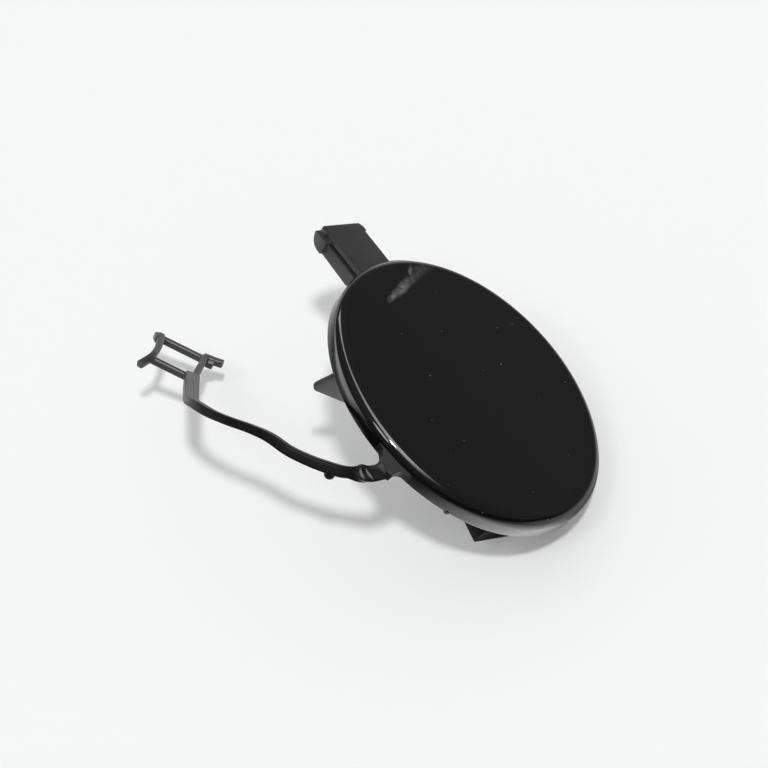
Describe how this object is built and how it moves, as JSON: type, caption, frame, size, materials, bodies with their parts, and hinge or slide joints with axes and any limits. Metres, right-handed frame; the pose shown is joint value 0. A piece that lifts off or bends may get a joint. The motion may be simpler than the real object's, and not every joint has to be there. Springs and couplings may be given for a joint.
{
  "type": "tow eye cover",
  "caption": "Round gloss-black cover cap for a bumper's towing eye, with a spring tongue, a snap clip, locating fins and a moulded tether strap.",
  "frame": {"origin": "centre of the rim's back plane, where the cap seats in the bumper", "axes": "+Z out of the painted face, +Y from the centre toward the spring tongue, the tether leaves on the -X side"},
  "size_m": [0.0771, 0.0801, 0.0506],
  "materials": {
    "body": "gloss black paint on the face and rim, bare satin black plastic behind them"
  },
  "bodies": {
    "root": {"tow_eye_cover": "body"}
  },
  "joints": []
}
